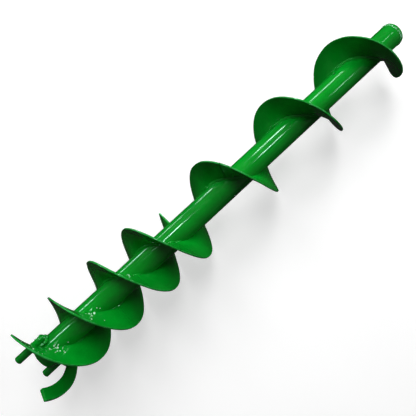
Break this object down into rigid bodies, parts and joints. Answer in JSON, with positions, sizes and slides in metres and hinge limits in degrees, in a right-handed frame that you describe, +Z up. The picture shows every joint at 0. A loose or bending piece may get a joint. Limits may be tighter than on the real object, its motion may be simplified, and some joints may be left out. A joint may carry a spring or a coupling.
{
  "type": "auger screw",
  "caption": "Right-hand welded auger screw: steel core tube with helical flighting, a second flight start, drive pegs and a sweep finger at one end.",
  "frame": {"origin": "on the auger's axis, at the drive end face of the core tube, at the mouth of the drive end bush", "axes": "+X along the axis from the drive end to the tail end, +Z up as the auger lies, +Y completing the right-handed frame"},
  "size_m": [1.486, 0.229, 0.229],
  "materials": {
    "painted_tube": "gloss",
    "painted_sheet": "gloss",
    "painted_bar": "gloss",
    "painted_weld": "gloss",
    "bush_bronze": "satin"
  },
  "bodies": {
    "root": {"core_tube": "painted_tube", "main_flight_1": "painted_sheet", "main_flight_2": "painted_sheet", "main_flight_3": "painted_sheet", "main_flight_4": "painted_sheet", "main_flight_5": "painted_sheet", "main_flight_6": "painted_sheet", "second_flight_1": "painted_sheet", "second_flight_2": "painted_sheet", "sweep_finger": "painted_bar", "drive_peg_1": "painted_bar", "drive_peg_2": "painted_bar", "drive_end_hub": "painted_bar", "drive_end_bush": "bush_bronze", "tail_end_hub": "painted_bar", "tail_end_bush": "bush_bronze", "main_flight_weld": "painted_weld", "second_flight_weld": "painted_weld", "flight_tack_welds": "painted_weld", "flight_seam_welds": "painted_weld", "peg_side_welds": "painted_weld", "peg_end_welds": "painted_weld", "finger_welds": "painted_weld", "drive_hub_weld": "painted_weld", "tail_hub_weld": "painted_weld"}
  },
  "joints": []
}
